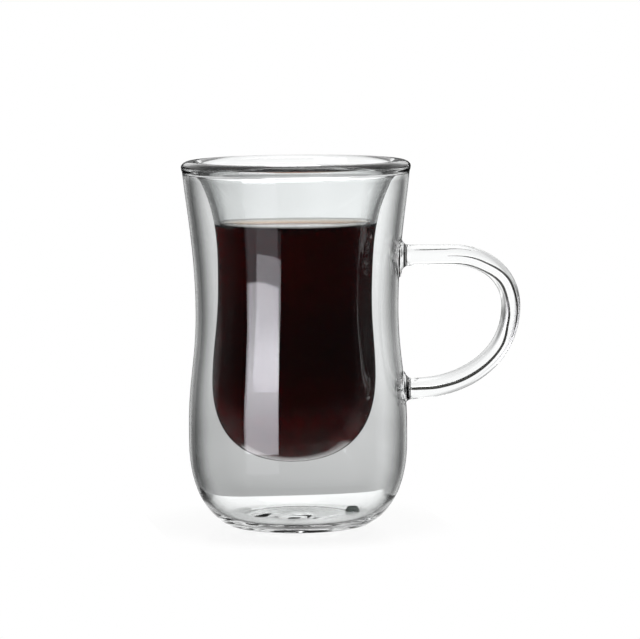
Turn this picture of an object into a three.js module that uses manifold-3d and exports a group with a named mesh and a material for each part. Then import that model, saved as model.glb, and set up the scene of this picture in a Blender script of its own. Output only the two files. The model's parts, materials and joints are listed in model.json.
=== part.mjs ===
// Double-walled glass mug: a waisted outer shell, a waisted liner cup that hangs from its own
// rolled rim, a bent glass rod for a handle, and a soft plug that closes the vent in the base.
// Millimetres, +Z up, origin at the middle of the foot ring, handle towards +X.
import * as THREE from 'three';
import { mergeVertices } from 'three/addons/utils/BufferGeometryUtils.js';
import Module from 'manifold-3d';

const wasm = await Module();
wasm.setup();

// Overall height and the blown outer shell
const HEIGHT = 121;
const OUTER_WALL = 2;
const MOUTH_R = 37.55;
const MOUTH_BAND = 2;
const WAIST_R = 33.65;
const WAIST_Z = 71;
const BELLY_R = 36.3;
const BELLY_Z = 27.8;
const BELLY_BAND = 5;
const HEEL_LIFT = 5.5;
const HEEL_FLAT = 1.5;

// Base of the outer shell: foot ring, hollowed underside and the closing mark at its middle
const FOOT_R = 23;
const FOOT_RING_WIDTH = 1.2;
const BASE_RELIEF = 0.6;
const BASE_WALL = 2;
const MARK_R = 9;
const MARK_RISE = 0.9;

// Liner cup, placed by the air gaps that it leaves to the outer shell
const CUP_WALL = 1.8;
const WAIST_GAP = 6.1;
const BELLY_GAP = 7.15;
const FLOOR_GAP = 18.5;
const BOWL_DEPTH = 27.4;
const NECK_ABOVE_WAIST = 7;

// Rolled rim of the cup, which lands on the flat top edge of the outer shell
const RIM_HEIGHT = 3.6;
const RIM_OVERHANG = 0.45;
const RIM_BULGE = 1.6;
const RIM_CREST_IN = 3.2;
const RIM_EDGE_LIFT = 2;
const RIM_EDGE_IN = 0.8;
const LIP_GAP = 3.35;
const LIP_DROP = 1.6;
const LIP_FLARE = 0.45;
const SEAT_OVERLAP = 0.5;

// Handle: a round rod bent to a D, drawn out to a flared foot where it joins the wall
const ROD_D = 6.5;
const HANDLE_TOP_Z = 89.3;
const HANDLE_BOTTOM_Z = 44.8;
const BOW_Z = 72.3;
const FINGER_ROOM = 31.4;
const TOP_ARM = 16.7;
const BOTTOM_ARM = 2;
const TOP_FOOT_D = 12.4;
const BOTTOM_FOOT_D = 9.4;
const FOOT_FLARE = 5;
const FOOT_TAPER = 0.25;
const WELD_GAP = 0.3;

// Vent in the base and its plug
const VENT_FROM_AXIS = 18.4;
const VENT_ANGLE = 10;
const VENT_D = 3.4;
const VENT_SINK = 0.6;
const PLUG_CLEARANCE = 0.3;
const PLUG_FLANGE_D = 4.8;
const PLUG_FLANGE = 0.8;
const PLUG_HEAD_D = 5;
const PLUG_HEAD = 1.9;

// Fullness of each curve: how far its handles reach along the span
const WAIST_FULLNESS = 0.4;
const MOUTH_LEAVE = 0.455;
const MOUTH_ARRIVE = 0.227;
const BOWL_FULLNESS = 0.66;
const NECK_LEAVE = 0.34;
const NECK_ARRIVE = 0.44;
const FLARE_LEAVE = 0.59;
const FLARE_ARRIVE = 0.27;
const BEND_FULLNESS = 0.585;
const ROUND_FULLNESS = 0.55;

// Facets
const SIDES = 40;
const ROD_SIDES = 16;
const ROD_STEPS = 44;
const PLUG_SIDES = 20;

// Sizes that follow from the ones above
const SEAT_Z = HEIGHT - RIM_HEIGHT;
const FLOOR_Z = BASE_RELIEF + BASE_WALL;
const RIM_R = MOUTH_R + RIM_OVERHANG;
const CUP_NECK_R = WAIST_R - OUTER_WALL - WAIST_GAP;
const CUP_NECK_Z = WAIST_Z + NECK_ABOVE_WAIST;
const CUP_BELLY_R = BELLY_R - OUTER_WALL - BELLY_GAP;
const CUP_BOTTOM_Z = FLOOR_Z + FLOOR_GAP;
const CUP_BELLY_Z = CUP_BOTTOM_Z + BOWL_DEPTH;
const LIP_R = MOUTH_R - OUTER_WALL - LIP_GAP;
const LIP_Z = SEAT_Z - LIP_DROP;
const ROD_R = ROD_D / 2;
const BOW_X = BELLY_R + FINGER_ROOM + ROD_R;

const at = (r, z) => new THREE.Vector2(r, z);

// Points of a cubic curve through its four control points.
function bend(steps, a, b, c, d) {
  return new THREE.CubicBezierCurve(a, b, c, d).getPoints(steps);
}

// Curve that leaves one height upright and arrives at the next upright, or leaning by a flare.
function sweep(steps, a, d, leave, arrive, flare = 0) {
  const span = d.y - a.y;
  const b = at(a.x, a.y + leave * span);
  const c = at(d.x - flare * arrive * span, d.y - arrive * span);
  return bend(steps, a, b, c, d);
}

// Quarter bowl from the axis, level at its bottom and upright at its brim.
function bowl(steps, bottom, brim) {
  const b = at(BOWL_FULLNESS * brim.x, bottom.y);
  const c = at(brim.x, brim.y - BOWL_FULLNESS * (brim.y - bottom.y));
  return bend(steps, bottom, b, c, brim);
}

// Joins runs of points into one profile, dropping repeats where runs meet.
function profile(...runs) {
  const points = [];
  for (const point of runs.flat()) {
    const last = points[points.length - 1];
    if (!last || last.distanceTo(point) > 1e-6) points.push(point);
  }
  return points;
}

// Revolves a profile of (radius, height) points about +Z.
function revolve(points, sides) {
  return new THREE.LatheGeometry(points, sides).rotateX(Math.PI / 2);
}

// Turns a closed geometry into a solid that can be joined and cut.
function solid(geometry) {
  const bare = geometry.clone();
  bare.deleteAttribute('normal');
  bare.deleteAttribute('uv');
  const merged = mergeVertices(bare, 1e-4);
  const corners = merged.index.array;
  const kept = [];
  for (let i = 0; i < corners.length; i += 3) {
    const [a, b, c] = corners.slice(i, i + 3);
    if (a !== b && b !== c && c !== a) kept.push(a, b, c);
  }
  const vertProperties = Float32Array.from(merged.attributes.position.array);
  return new wasm.Manifold(new wasm.Mesh({ numProp: 3, vertProperties, triVerts: Uint32Array.from(kept) }));
}

// Turns a solid back into a geometry.
function geometryOf(body) {
  const mesh = body.getMesh();
  const geometry = new THREE.BufferGeometry();
  geometry.setAttribute('position', new THREE.BufferAttribute(mesh.vertProperties, 3));
  geometry.setIndex(new THREE.BufferAttribute(mesh.triVerts, 1));
  return geometry;
}

// Side wall of the outer shell from the foot to the mouth, taken in by a wall thickness.
function shellSide(inset) {
  const foot = inset > 0 ? at(FOOT_R, FLOOR_Z) : at(FOOT_R, 0);
  const belly = at(BELLY_R - inset, BELLY_Z);
  const bellyTop = at(BELLY_R - inset, BELLY_Z + BELLY_BAND);
  const waist = at(WAIST_R - inset, WAIST_Z);
  const mouth = at(MOUTH_R - inset, SEAT_Z - MOUTH_BAND);
  const heelFrom = at(foot.x + HEEL_FLAT, foot.y);
  const heelTo = at(belly.x, HEEL_LIFT + inset / 2);
  return profile(
    bend(8, foot, heelFrom, heelTo, belly),
    sweep(7, bellyTop, waist, WAIST_FULLNESS, WAIST_FULLNESS),
    sweep(8, waist, mouth, MOUTH_LEAVE, MOUTH_ARRIVE),
    [at(mouth.x, SEAT_Z)],
  );
}

// Level stretch of the base from the closing mark out to the foot, at a given height.
function baseMark(z) {
  const middle = at(0, z + MARK_RISE);
  const edge = at(MARK_R, z);
  return bend(5, middle, at(MARK_R / 2, middle.y), at(MARK_R / 2, z), edge);
}

// Outer shell with its foot ring, hollowed underside and vent hole.
function outerShell(vent) {
  const ringInner = FOOT_R - FOOT_RING_WIDTH;
  const underside = profile(
    baseMark(BASE_RELIEF),
    [at(ringInner - BASE_RELIEF, BASE_RELIEF), at(ringInner, 0)],
  );
  const inside = profile(baseMark(FLOOR_Z), shellSide(OUTER_WALL)).reverse();
  const blank = solid(revolve(profile(underside, shellSide(0), inside), SIDES));
  const holeTall = FLOOR_Z + BASE_WALL;
  const hole = new THREE.CylinderGeometry(VENT_D / 2, VENT_D / 2, holeTall, PLUG_SIDES);
  hole.rotateX(Math.PI / 2).translate(vent.x, vent.y, holeTall / 2);
  const sinkR = PLUG_FLANGE_D / 2 + PLUG_CLEARANCE;
  const sinkTall = BASE_RELIEF + VENT_SINK;
  const sink = new THREE.CylinderGeometry(sinkR, sinkR, sinkTall, PLUG_SIDES);
  sink.rotateX(Math.PI / 2).translate(vent.x, vent.y, sinkTall / 2);
  return geometryOf(blank.subtract(solid(hole)).subtract(solid(sink)));
}

// Liner cup with its rim rolled outwards over the edge of the outer shell.
function innerCup() {
  const bottom = at(0, CUP_BOTTOM_Z);
  const belly = at(CUP_BELLY_R, CUP_BELLY_Z);
  const neck = at(CUP_NECK_R, CUP_NECK_Z);
  const lip = at(LIP_R, LIP_Z);
  const seatIn = at(MOUTH_R - OUTER_WALL - SEAT_OVERLAP, SEAT_Z);
  const seatOut = at(MOUTH_R, SEAT_Z);
  const bulge = at(RIM_R, SEAT_Z + RIM_BULGE);
  const crest = at(RIM_R - RIM_CREST_IN, HEIGHT);
  const edge = at(LIP_R - RIM_EDGE_IN, SEAT_Z + RIM_EDGE_LIFT);
  const outside = profile(
    bowl(9, bottom, belly),
    sweep(6, belly, neck, NECK_LEAVE, NECK_ARRIVE),
    sweep(8, neck, lip, FLARE_LEAVE, FLARE_ARRIVE, LIP_FLARE),
    bend(3, lip, at(lip.x + LIP_FLARE * LIP_DROP, SEAT_Z), at((lip.x + seatIn.x) / 2, SEAT_Z), seatIn),
    [seatOut],
  );
  const roll = profile(
    bend(3, seatOut, at(RIM_R, SEAT_Z), at(RIM_R, SEAT_Z + RIM_BULGE / 2), bulge),
    bend(
      5,
      bulge,
      at(RIM_R, bulge.y + ROUND_FULLNESS * (HEIGHT - bulge.y)),
      at(crest.x + ROUND_FULLNESS * RIM_CREST_IN, HEIGHT),
      crest,
    ),
    bend(
      4,
      crest,
      at(crest.x - ROUND_FULLNESS * (crest.x - edge.x), HEIGHT),
      at(edge.x + LIP_FLARE * RIM_EDGE_LIFT / 2, edge.y + RIM_EDGE_LIFT / 2),
      edge,
    ),
  );
  const innerBelly = at(CUP_BELLY_R - CUP_WALL, CUP_BELLY_Z);
  const innerNeck = at(CUP_NECK_R - CUP_WALL, CUP_NECK_Z);
  const inside = profile(
    bowl(9, at(0, CUP_BOTTOM_Z + CUP_WALL), innerBelly),
    sweep(6, innerBelly, innerNeck, NECK_LEAVE, NECK_ARRIVE),
    sweep(8, innerNeck, edge, FLARE_LEAVE, FLARE_ARRIVE, LIP_FLARE),
  ).reverse();
  return revolve(profile(outside, roll, inside), SIDES);
}

// Radius of the outer shell at a height, read off its side profile.
function shellRadius(z) {
  const side = shellSide(0);
  const upper = side.findIndex((point) => point.y >= z);
  const a = side[upper - 1];
  const b = side[upper];
  return THREE.MathUtils.mapLinear(z, a.y, b.y, a.x, b.x);
}

// Flared foot, drawn out of the rod along +X, from a little inside the wall.
function handleFoot(footD, z) {
  const wall = shellRadius(z);
  const drawn = at(ROD_R - FOOT_TAPER, FOOT_FLARE);
  const flare = new THREE.QuadraticBezierCurve(at(footD / 2, 0), at(ROD_R, FOOT_FLARE / 4), drawn);
  const points = profile(
    [at(0, -OUTER_WALL), at(footD / 2, -OUTER_WALL)],
    flare.getPoints(5),
    [at(0, FOOT_FLARE)],
  );
  const foot = new THREE.LatheGeometry(points, ROD_SIDES);
  return solid(foot.rotateZ(-Math.PI / 2).translate(wall, 0, z));
}

// Bent rod with both feet, cut to the curve of the outer shell with a weld gap.
function handle() {
  const spot = (x, z) => new THREE.Vector3(x, 0, z);
  const topWall = shellRadius(HANDLE_TOP_Z);
  const bottomWall = shellRadius(HANDLE_BOTTOM_Z);
  const topBend = topWall + TOP_ARM;
  const bottomBend = bottomWall + BOTTOM_ARM;
  const bow = spot(BOW_X, BOW_Z);
  const path = new THREE.CurvePath();
  path.add(new THREE.LineCurve3(spot(topWall - OUTER_WALL, HANDLE_TOP_Z), spot(topBend, HANDLE_TOP_Z)));
  path.add(new THREE.CubicBezierCurve3(
    spot(topBend, HANDLE_TOP_Z),
    spot(topBend + BEND_FULLNESS * (BOW_X - topBend), HANDLE_TOP_Z),
    spot(BOW_X, BOW_Z + BEND_FULLNESS * (HANDLE_TOP_Z - BOW_Z)),
    bow,
  ));
  path.add(new THREE.CubicBezierCurve3(
    bow,
    spot(BOW_X, BOW_Z - BEND_FULLNESS * (BOW_Z - HANDLE_BOTTOM_Z)),
    spot(bottomBend + BEND_FULLNESS * (BOW_X - bottomBend), HANDLE_BOTTOM_Z),
    spot(bottomBend, HANDLE_BOTTOM_Z),
  ));
  path.add(new THREE.LineCurve3(
    spot(bottomBend, HANDLE_BOTTOM_Z),
    spot(bottomWall - OUTER_WALL, HANDLE_BOTTOM_Z),
  ));
  const round = new THREE.Shape().absarc(0, 0, ROD_R, 0, 2 * Math.PI);
  const rod = new THREE.ExtrudeGeometry(round, {
    steps: ROD_STEPS,
    curveSegments: ROD_SIDES / 2,
    bevelEnabled: false,
    extrudePath: path,
  });
  const side = shellSide(-WELD_GAP);
  const envelope = revolve(profile([at(0, side[0].y)], side, [at(0, SEAT_Z)]), SIDES);
  const welded = solid(rod)
    .add(handleFoot(TOP_FOOT_D, HANDLE_TOP_Z))
    .add(handleFoot(BOTTOM_FOOT_D, HANDLE_BOTTOM_Z));
  return geometryOf(welded.subtract(solid(envelope)));
}

// Vent plug: a flange in the underside, a stem through the hole and a domed head on the floor.
function ventPlug() {
  const flangeTop = BASE_RELIEF + VENT_SINK;
  const flangeR = PLUG_FLANGE_D / 2;
  const stemR = VENT_D / 2 - PLUG_CLEARANCE;
  const headR = PLUG_HEAD_D / 2;
  const headTop = FLOOR_Z + PLUG_HEAD;
  const dome = bend(
    5,
    at(headR, FLOOR_Z),
    at(headR, FLOOR_Z + ROUND_FULLNESS * PLUG_HEAD),
    at(ROUND_FULLNESS * headR, headTop),
    at(0, headTop),
  );
  const points = profile(
    [at(0, flangeTop - PLUG_FLANGE), at(flangeR, flangeTop - PLUG_FLANGE), at(flangeR, flangeTop)],
    [at(stemR, flangeTop), at(stemR, FLOOR_Z)],
    dome,
  );
  return revolve(points, PLUG_SIDES);
}

// Clear borosilicate glass, each piece with a material of its own.
function glass() {
  return new THREE.MeshStandardMaterial({
    color: 0xe8eeec,
    roughness: 0.04,
    metalness: 0,
    transparent: true,
    opacity: 0.35,
  });
}

const silicone = new THREE.MeshStandardMaterial({
  color: 0xd4d8d5,
  roughness: 0.35,
  metalness: 0,
  transparent: true,
  opacity: 0.8,
});

const mug = new THREE.Group();

// Adds one named piece to the mug.
function addPiece(name, geometry, material) {
  const piece = new THREE.Mesh(geometry, material);
  piece.name = name;
  mug.add(piece);
  return piece;
}

const turn = THREE.MathUtils.degToRad(VENT_ANGLE);
const vent = at(VENT_FROM_AXIS * Math.cos(turn), VENT_FROM_AXIS * Math.sin(turn));

addPiece('outer_shell', outerShell(vent), glass());
addPiece('inner_cup', innerCup(), glass());
addPiece('handle', handle(), glass());
addPiece('vent_plug', ventPlug(), silicone).position.set(vent.x, vent.y, 0);

export default mug;
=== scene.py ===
"""Looks for a double-walled glass mug of black coffee: blown body, rod handle, vent plug, drink."""

import json
import logging
import math
from dataclasses import dataclass
from enum import Enum

import bpy
from mathutils.kdtree import KDTree
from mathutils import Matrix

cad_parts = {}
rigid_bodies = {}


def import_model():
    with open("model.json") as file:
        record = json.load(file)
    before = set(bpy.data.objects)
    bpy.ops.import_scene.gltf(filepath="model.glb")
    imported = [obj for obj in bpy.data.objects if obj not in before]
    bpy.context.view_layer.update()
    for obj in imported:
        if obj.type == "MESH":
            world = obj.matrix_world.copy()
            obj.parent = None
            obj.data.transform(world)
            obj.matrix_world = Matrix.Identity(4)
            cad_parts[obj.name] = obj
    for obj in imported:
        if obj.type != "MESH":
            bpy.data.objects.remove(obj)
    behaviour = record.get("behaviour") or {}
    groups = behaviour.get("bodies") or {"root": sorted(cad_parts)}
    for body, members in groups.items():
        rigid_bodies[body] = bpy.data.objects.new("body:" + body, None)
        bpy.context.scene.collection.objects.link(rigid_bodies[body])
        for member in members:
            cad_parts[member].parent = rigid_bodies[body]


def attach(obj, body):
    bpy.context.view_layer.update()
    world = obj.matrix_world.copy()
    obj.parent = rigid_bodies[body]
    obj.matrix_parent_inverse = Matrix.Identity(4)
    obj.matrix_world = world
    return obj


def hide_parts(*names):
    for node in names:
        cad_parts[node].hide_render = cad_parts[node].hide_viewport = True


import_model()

LOG = logging.getLogger("mug")
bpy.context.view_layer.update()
MM = 0.001
AXIS = (0.0, 0.0, 1.0)
FULL_TURN = 2 * math.pi
IMAGE_WIDE = 640
SENSOR_WIDE = 36.0
# Points closer than this in mm are one point; vertices closer than this in m are one vertex
SAME_POINT = 1e-5
SAME_VERTEX = 2e-6
TINY = 1e-6
# Half a step between whole numbers, to tell one count of a ray's turns from the next
HALF = 0.5
WHITE = "#ffffff"
SHARP_GLASS = 40.0
SHARP_DRINK = 60.0

Point = tuple[float, float]
Knot = tuple[float, float, float]
Stops = tuple[Point, ...]
Colour = tuple[float, float, float, float]
Piece = bpy.types.Object
Nodes = bpy.types.NodeTree
Socket = bpy.types.NodeSocket
Term = Socket | float


class Wall(Enum):
    """Which face of a blown wall a profile follows."""

    OUTSIDE = "outside"
    INSIDE = "inside"


class Side(Enum):
    """What a stretch of glass has on its far side."""

    DRY = "dry"
    WET = "wet"
    # Walls of an air line in the rod, coloured dark grey as a painted streak of shade
    AIR_LINE = "air_line"


class Meeting(Enum):
    """How a second solid meets a piece."""

    JOIN = "UNION"
    CUT = "DIFFERENCE"


def linear(code: str) -> Colour:
    """Turns an sRGB hex colour into a linear one.

    Args:
        code: six hex digits, with or without a leading hash.

    Returns:
        Linear red, green, blue and an alpha of one.
    """
    code = code.lstrip("#")
    parts = [int(code[i : i + 2], 16) / 255 for i in (0, 2, 4)]
    low, high = 12.92, 2.4
    lin = [p / low if p <= 0.04045 else ((p + 0.055) / 1.055) ** high for p in parts]
    return (lin[0], lin[1], lin[2], 1.0)


def add_node(
    tree: Nodes, kind: str, inputs: dict | None = None, **settings: object
) -> bpy.types.Node:
    """Adds one node with its settings, and the values and links of its sockets.

    Args:
        tree: node tree that takes the node.
        kind: type name of the node, without its prefix.
        inputs: value of each socket, or the output that feeds it, by socket name or number.
        settings: properties of the node itself.

    Returns:
        The new node.
    """
    made = tree.nodes.new(f"ShaderNode{kind}")
    for name, value in settings.items():
        setattr(made, name, value)
    for socket, value in (inputs or {}).items():
        if isinstance(value, Socket):
            tree.links.new(value, made.inputs[socket])
        else:
            made.inputs[socket].default_value = value
    return made


def maths(tree: Nodes, operation: str, *terms: Term, clamp: bool = False) -> Socket:
    """Works out one operation on numbers and outputs, held to 0 to 1 where asked."""
    inputs = dict(enumerate(terms))
    return add_node(tree, "Math", inputs, operation=operation, use_clamp=clamp).outputs[0]


def blend(tree: Nodes, share: Term, a: Term, b: Term) -> Socket:
    """Goes from one brightness to another by a share."""
    return add_node(tree, "Mix", {"Factor": share, "A": a, "B": b}).outputs[0]


def remap(
    tree: Nodes,
    source: Socket,
    low: float,
    high: float,
    at_low: float = 0.0,
    at_high: float = 1.0,
    soft: bool = False,
) -> Socket:
    """Goes from one value to another while a source goes from low to high.

    Args:
        tree: node tree that takes the node.
        source: output that is read.
        low: source at the first value.
        high: source at the second value.
        at_low: the first value.
        at_high: the second value.
        soft: whether it eases in and out.

    Returns:
        The value, which stays at its ends beyond them.
    """
    ends = {"From Min": low, "From Max": high, "To Min": at_low, "To Max": at_high}
    kind = "SMOOTHSTEP" if soft else "LINEAR"
    made = add_node(tree, "MapRange", {"Value": source, **ends}, interpolation_type=kind)
    return made.outputs["Result"]


def length(tree: Nodes, place: Socket) -> Socket:
    """Distance of a place from the origin."""
    return add_node(tree, "VectorMath", {0: place}, operation="LENGTH").outputs["Value"]


def bumps(tree: Nodes, size_mm: float, depth_mm: float, **noise: float) -> Socket:
    """Bends the normal of a skin by soft bumps.

    Args:
        tree: node tree that takes the nodes.
        size_mm: length of one bump.
        depth_mm: depth of the bumps.
        noise: further values of the noise, by socket name.

    Returns:
        The bent normal.
    """
    place = add_node(tree, "TexCoord").outputs["Object"]
    grain = add_node(tree, "TexNoise", {"Vector": place, "Scale": 1 / (size_mm * MM), **noise})
    relief = {"Strength": 1.0, "Distance": depth_mm * MM, "Height": grain.outputs["Fac"]}
    return add_node(tree, "Bump", relief).outputs["Normal"]


def blank_material(name: str) -> tuple[bpy.types.Material, Nodes]:
    """Makes a material with an empty node tree.

    Args:
        name: name of the material.

    Returns:
        The material and its node tree.
    """
    made = bpy.data.materials.new(name)
    made.use_nodes = True
    made.node_tree.nodes.clear()
    return made, made.node_tree


def bend(steps: int, a: Point, b: Point, c: Point, d: Point) -> list[Point]:
    """Points of a cubic curve through its four control points.

    Args:
        steps: number of stretches.
        a: start.
        b: handle of the start.
        c: handle of the end.
        d: end.

    Returns:
        steps + 1 points from a to d.
    """
    points = []
    for i in range(steps + 1):
        t = i / steps
        u = 1 - t
        w = (u * u * u, 3 * u * u * t, 3 * u * t * t, t * t * t)
        points.append(tuple(sum(k * p[n] for k, p in zip(w, (a, b, c, d))) for n in (0, 1)))
    return points


def sweep(steps: int, a: Point, d: Point, reach: Point, flare: float = 0.0) -> list[Point]:
    """Curve that leaves one height upright and arrives at the next upright, or leaning by a flare.

    Args:
        steps: number of stretches.
        a: start.
        d: end.
        reach: how far the first and the last handle reach along the span, as shares.
        flare: lean of the end, as a slope.

    Returns:
        Points from a to d.
    """
    leave, arrive = reach
    span = d[1] - a[1]
    b = (a[0], a[1] + leave * span)
    c = (d[0] - flare * arrive * span, d[1] - arrive * span)
    return bend(steps, a, b, c, d)


def straight(steps: int, a: Point, d: Point) -> list[Point]:
    """Evenly spaced points from one point to another."""
    wide, tall = d[0] - a[0], d[1] - a[1]
    return [(a[0] + wide * i / steps, a[1] + tall * i / steps) for i in range(steps + 1)]


def joined(*runs: list[Point]) -> list[Point]:
    """Joins runs of points, without the repeats where they meet.

    Args:
        runs: the runs in order.

    Returns:
        One run.
    """
    points: list[Point] = []
    for point in (p for run in runs for p in run):
        if not points or math.dist(points[-1], point) > SAME_POINT:
            points.append(point)
    return points


def reach_at(side: list[Point], z: float, slack: float = 0.0) -> float:
    """Radius of a side at a height, rounded up to its next point, or 0 past its ends."""
    return next((b[0] for a, b in zip(side, side[1:]) if a[1] <= z <= b[1] + slack), 0.0)


def deselect() -> None:
    """Leaves edit mode and deselects every object."""
    if bpy.context.object and bpy.context.object.mode != "OBJECT":
        bpy.ops.object.mode_set(mode="OBJECT")
    bpy.ops.object.select_all(action="DESELECT")


def pick(piece: Piece) -> None:
    """Makes one object the only selected and active one.

    Args:
        piece: the object.
    """
    deselect()
    piece.select_set(True)
    bpy.context.view_layer.objects.active = piece


def edit_all() -> None:
    """Enters edit mode with everything selected."""
    bpy.ops.object.mode_set(mode="EDIT")
    bpy.ops.mesh.select_all(action="SELECT")


def weld() -> None:
    """Merges vertices that meet, turns all faces outwards and leaves edit mode."""
    bpy.ops.mesh.select_all(action="SELECT")
    bpy.ops.mesh.remove_doubles(threshold=SAME_VERTEX)
    bpy.ops.mesh.normals_make_consistent(inside=False)
    bpy.ops.object.mode_set(mode="OBJECT")


def spun(name: str, profile: list[Point], sides: int, middle: Point = (0.0, 0.0)) -> Piece:
    """Draws a profile from one vertex by extruding it, and spins it about an upright axis.

    Args:
        name: name of the new object.
        profile: radius and height of each point in mm, with both ends on the axis.
        sides: number of faces round the axis.
        middle: place of the axis in mm.

    Returns:
        A closed mesh object at the origin.
    """
    deselect()
    bpy.ops.mesh.primitive_plane_add(size=MM, location=(0, 0, 0))
    piece = bpy.context.object
    piece.name = name
    edit_all()
    bpy.ops.mesh.merge(type="CENTER")
    x, y = middle
    first = profile[0]
    bpy.ops.transform.translate(value=((x + first[0]) * MM, y * MM, first[1] * MM))
    for here, there in zip(profile, profile[1:]):
        step = ((there[0] - here[0]) * MM, 0.0, (there[1] - here[1]) * MM)
        bpy.ops.mesh.extrude_region_move(TRANSFORM_OT_translate={"value": step})
    bpy.ops.mesh.select_all(action="SELECT")
    bpy.ops.mesh.spin(steps=sides, angle=FULL_TURN, center=(x * MM, y * MM, 0), axis=AXIS)
    weld()
    return piece


def tube(name: str, knots: list[Knot], rounding: int) -> Piece:
    """Gives an upright, flat path the thickness of each of its points and closes both ends.

    Args:
        name: name of the new object.
        knots: place along +X, height and radius of each point in mm.
        rounding: bevel resolution of the section.

    Returns:
        A closed mesh object at the origin.
    """
    deselect()
    bpy.ops.curve.primitive_bezier_curve_add(location=(0, 0, 0))
    piece = bpy.context.object
    piece.name = name
    line = piece.data
    line.splines.clear()
    spline = line.splines.new("POLY")
    spline.points.add(len(knots) - 1)
    for knot, (x, z, r) in zip(spline.points, knots):
        knot.co = (x * MM, 0.0, z * MM, 1.0)
        knot.radius = r
    line.dimensions = "3D"
    line.bevel_depth = MM
    line.bevel_resolution = rounding
    line.use_fill_caps = True
    pick(piece)
    bpy.ops.object.convert(target="MESH")
    piece = bpy.context.object
    bpy.ops.object.mode_set(mode="EDIT")
    weld()
    return piece


def sheet(
    name: str, wide: float, deep: float, y: float, z: float = 0.0, turn: float = 0.0
) -> Piece:
    """Lays a flat rectangle. Lengths in metres.

    Args:
        name: name of the new object.
        wide: size along X.
        deep: size along Y.
        y: place of its middle along Y, before it is turned.
        z: height.
        turn: degrees about the upright axis through the origin.

    Returns:
        A mesh object at the origin.
    """
    deselect()
    bpy.ops.mesh.primitive_plane_add(size=1.0, location=(0, 0, 0))
    piece = bpy.context.object
    piece.name = name
    edit_all()
    bpy.ops.transform.resize(value=(wide, deep, 1.0))
    bpy.ops.transform.translate(value=(0.0, y, z))
    bpy.ops.transform.rotate(
        value=-math.radians(turn), orient_axis="Z", center_override=(0.0, 0.0, 0.0)
    )
    bpy.ops.object.mode_set(mode="OBJECT")
    return piece


def hollow_out(piece: Piece, space: Piece) -> None:
    """Turns the faces of a closed space round and makes them part of the solid that holds it.

    Args:
        piece: solid that holds the space.
        space: closed form of the space, which is used up.
    """
    pick(space)
    edit_all()
    bpy.ops.mesh.flip_normals()
    bpy.ops.object.mode_set(mode="OBJECT")
    pick(piece)
    space.select_set(True)
    bpy.ops.object.join()


def combine(piece: Piece, tool: Piece, meeting: Meeting) -> None:
    """Joins a second solid to a piece, or cuts it out of it, and removes the second solid.

    Args:
        piece: solid that is changed.
        tool: solid that is joined or cut out.
        meeting: which of the two is done.
    """
    pick(piece)
    bpy.ops.object.modifier_add(type="BOOLEAN")
    work = piece.modifiers[-1]
    work.operation = meeting.value
    work.solver = "EXACT"
    work.object = tool
    bpy.ops.object.modifier_apply(modifier=work.name)
    bpy.data.objects.remove(tool)


def smooth(piece: Piece, degrees: float) -> None:
    """Shades a piece smooth, with edges sharper than an angle kept."""
    pick(piece)
    bpy.ops.object.shade_smooth_by_angle(angle=math.radians(degrees))


@dataclass(frozen=True)
class BlownGlass:
    """Clear borosilicate glass, blown and fire-polished: bright, with a slow wave in its skin."""

    side: Side = Side.DRY
    ior: float = 1.47
    wave_mm: float = 13.0
    wave_depth_mm: float = 0.02
    wave_detail: float = 1.0
    wave_rough: float = 0.4
    tint: str = "#fdfefe"
    # Grey that the glass darkens to where its wall is seen along its skin: painted edge shade
    edge: str = "#d0d2d1"
    edge_shade_from: float = 0.5
    edge_shade_full: float = 0.85
    facing: float = 0.5
    guided_from: float = 0.267
    # Dark grey of the air line walls: painted shade along the rod
    painted_streak: str = "#484846"

    def material(self) -> bpy.types.Material:
        """Makes the glass, which lets lamps through so that the drink and the table are lit.

        Returns:
            The material.
        """
        made, tree = blank_material(f"borosilicate_glass_{self.side.value}")
        # Hand-blown skin: a wave about 13 mm long and a few hundredths of a mm deep
        wave = {"Detail": self.wave_detail, "Roughness": self.wave_rough}
        skin = bumps(tree, self.wave_mm, self.wave_depth_mm, **wave)
        # Looked at along its skin, a wall is thicker and holds back a little more light; the grey
        # there is mostly painted edge shade, darker than that longer path makes it, standing in for
        # the dark room that the edges show
        slant = add_node(tree, "LayerWeight", {"Blend": self.facing}).outputs["Facing"]
        along = remap(tree, slant, self.edge_shade_from, self.edge_shade_full)
        tints = {0: along, 6: linear(self.tint), 7: linear(self.edge)}
        look = {
            "Base Color": add_node(tree, "Mix", tints, data_type="RGBA").outputs[2],
            "Roughness": 0.0,
            "IOR": self.ior,
            "Transmission Weight": 1.0,
            "Normal": skin,
        }
        if self.side is Side.WET:
            # Against a drink the wall hardly reflects, except for light that runs along inside it
            look["Specular Tint"] = maths(tree, "GREATER_THAN", slant, self.guided_from)
        if self.side is Side.AIR_LINE:
            # A drawn-out bubble whose walls are coloured dark grey: a painted streak of shade along
            # the rod
            look["Base Color"] = look["Specular Tint"] = linear(self.painted_streak)
        glass = add_node(tree, "BsdfPrincipled", look).outputs[0]
        path = add_node(tree, "LightPath").outputs
        lit = maths(tree, "MAXIMUM", path["Is Shadow Ray"], path["Is Diffuse Ray"])
        clear = add_node(tree, "BsdfTransparent").outputs[0]
        both = add_node(tree, "MixShader", {0: lit, 1: glass, 2: clear}).outputs[0]
        add_node(tree, "OutputMaterial", {"Surface": both})
        return made


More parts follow.
